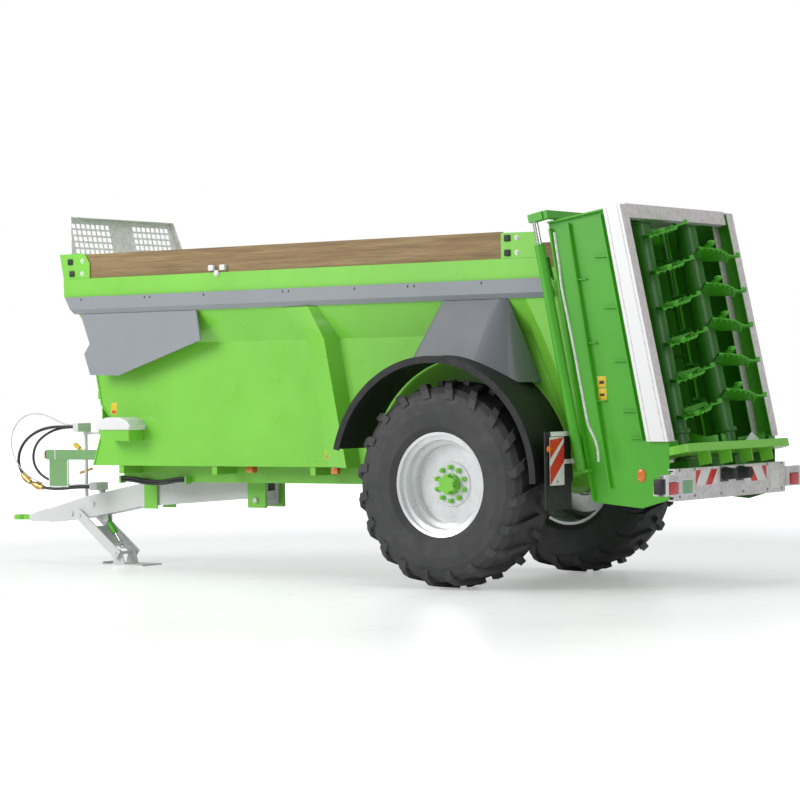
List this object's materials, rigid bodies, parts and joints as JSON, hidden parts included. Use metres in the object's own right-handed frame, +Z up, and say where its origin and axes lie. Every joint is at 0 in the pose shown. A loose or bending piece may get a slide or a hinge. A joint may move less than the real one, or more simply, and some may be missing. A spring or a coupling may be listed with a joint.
{
  "type": "manure spreader",
  "caption": "Single-axle rear-discharge manure spreader: tall tapered hopper with moving floor, slurry door, upright bladed beaters, hinged drawbar and folding stand.",
  "frame": {"origin": "on the ground under the centre of the whole machine, on its centreline", "axes": "+X to the rear of the machine, +Y to its right, +Z up"},
  "size_m": [8.72, 2.79, 3.5455],
  "materials": {
    "body_green": "gloss",
    "trim_grey": "satin",
    "galvanised": "satin",
    "drawbar_grey": "satin",
    "board_wood": "matt",
    "black_plastic": "matt",
    "tyre_rubber": "matt",
    "black_rubber": "matt",
    "rim_silver": "gloss",
    "white_paint": "gloss",
    "bare_steel": "satin",
    "rod_chrome": "polished",
    "cast_iron": "painted",
    "lamp_plastic": "gloss",
    "hose_rubber": "satin",
    "cable_sheath": "matt"
  },
  "bodies": {
    "root": {"chassis_frame": "body_green", "axle_beam": "bare_steel", "hopper_side_left": "body_green", "hopper_side_right": "body_green", "hopper_floor": "bare_steel", "front_wall": "body_green", "top_rails": "body_green", "trim_strips": "trim_grey", "top_boards": "board_wood", "board_end_plates": "body_green", "stone_guard": "galvanised", "front_fairings": "trim_grey", "arch_covers": "trim_grey", "mudguards": "black_plastic", "mudflaps": "black_rubber", "warning_boards": "galvanised", "tool_box": "body_green", "tool_box_lid": "white_paint", "front_brackets": "body_green", "beater_frame_left": "body_green", "beater_frame_right": "body_green", "rear_frame": "galvanised", "top_bearings": "cast_iron", "beater_gearboxes": "cast_iron", "disc_pan": "body_green", "light_bar": "galvanised", "lamps": "lamp_plastic", "rubber_bumpers": "black_rubber", "door_cylinder_barrels": "body_green", "hydraulic_pipes": "galvanised", "scraper_chain": "bare_steel", "chassis_hoses": "hose_rubber"},
    "wheel_left": {"tyre_left": "tyre_rubber", "rim_left": "rim_silver", "hub_left": "body_green"},
    "wheel_right": {"tyre_right": "tyre_rubber", "rim_right": "rim_silver", "hub_right": "body_green"},
    "beater_left": {"beater_left_tube": "body_green", "beater_left_blades": "body_green", "beater_left_disc": "body_green"},
    "beater_right": {"beater_right_tube": "body_green", "beater_right_blades": "body_green", "beater_right_disc": "body_green"},
    "driveline": {"driveline_shaft": "bare_steel"},
    "conveyor_drive": {"conveyor_drive_shaft": "bare_steel"},
    "conveyor_idler": {"conveyor_idler_shaft": "bare_steel"},
    "door": {"slurry_door": "body_green", "door_rods": "rod_chrome"},
    "drawbar": {"drawbar_beam": "drawbar_grey", "drawbar_nose": "drawbar_grey", "coupling_eye": "body_green", "hose_mast": "white_paint", "pressure_hose": "hose_rubber", "return_hose": "hose_rubber", "brake_cable": "cable_sheath"},
    "leg": {"stand_leg": "drawbar_grey"},
    "foot": {"stand_foot": "drawbar_grey"},
    "barrel": {"stand_barrel": "body_green"},
    "rod": {"stand_rod": "rod_chrome"}
  },
  "joints": [
    {"name": "wheel_left_spin", "type": "hinge", "parent": "root", "child": "wheel_left", "pos_m": [2.05, -1.07, 0.925], "axis": [0, 1, 0], "continuous": true},
    {"name": "wheel_right_spin", "type": "hinge", "parent": "root", "child": "wheel_right", "pos_m": [2.05, 1.07, 0.925], "axis": [0, 1, 0], "continuous": true},
    {"name": "beater_left_spin", "type": "hinge", "parent": "root", "child": "beater_left", "pos_m": [3.958, -0.42, 1.3], "axis": [-0.1971, 0, 0.9804], "continuous": true},
    {"name": "beater_right_spin", "type": "hinge", "parent": "root", "child": "beater_right", "pos_m": [3.958, 0.42, 1.3], "axis": [-0.1971, 0, 0.9804], "continuous": true},
    {"name": "driveline_spin", "type": "hinge", "parent": "root", "child": "driveline", "pos_m": [0, 0, 1.008], "axis": [1, 0, 0], "continuous": true},
    {"name": "conveyor_drive_spin", "type": "hinge", "parent": "root", "child": "conveyor_drive", "pos_m": [3.49, 0, 1.096], "axis": [0, 1, 0], "continuous": true},
    {"name": "conveyor_idler_spin", "type": "hinge", "parent": "root", "child": "conveyor_idler", "pos_m": [-2.33, 0, 1.096], "axis": [0, 1, 0], "continuous": true},
    {"name": "door_slide", "type": "slide", "parent": "root", "child": "door", "axis": [-0.1971, 0, 0.9804], "range_m": [0, 1.05]},
    {"name": "drawbar_pivot", "type": "hinge", "parent": "root", "child": "drawbar", "pos_m": [-0.95, 0, 0.695], "axis": [0, -1, 0], "range_deg": [0, 3]},
    {"name": "leg_swing", "type": "hinge", "parent": "drawbar", "child": "leg", "pos_m": [-3.31, 0, 0.505], "axis": [0, -1, 0], "range_deg": [0, 24]},
    {"name": "foot_tilt", "type": "hinge", "parent": "leg", "child": "foot", "pos_m": [-2.82, 0, 0.124], "axis": [0, 1, 0], "range_deg": [-25, 25]},
    {"name": "barrel_swing", "type": "hinge", "parent": "drawbar", "child": "barrel", "pos_m": [-3.06, 0, 0.462], "axis": [0, -1, 0], "range_deg": [0, 43]},
    {"name": "rod_slide", "type": "slide", "parent": "barrel", "child": "rod", "axis": [0.6118, 0, -0.791], "range_m": [-0.046, 0]}
  ],
  "couplings": [
    {"joint": "beater_right_spin", "follows": "beater_left_spin", "ratio": -1},
    {"joint": "driveline_spin", "follows": "beater_left_spin", "ratio": 2.34},
    {"joint": "conveyor_idler_spin", "follows": "conveyor_drive_spin", "ratio": 1},
    {"joint": "barrel_swing", "follows": "leg_swing", "ratio": 1.75},
    {"joint": "rod_slide", "follows": "leg_swing", "m_per_rad": -0.108}
  ]
}
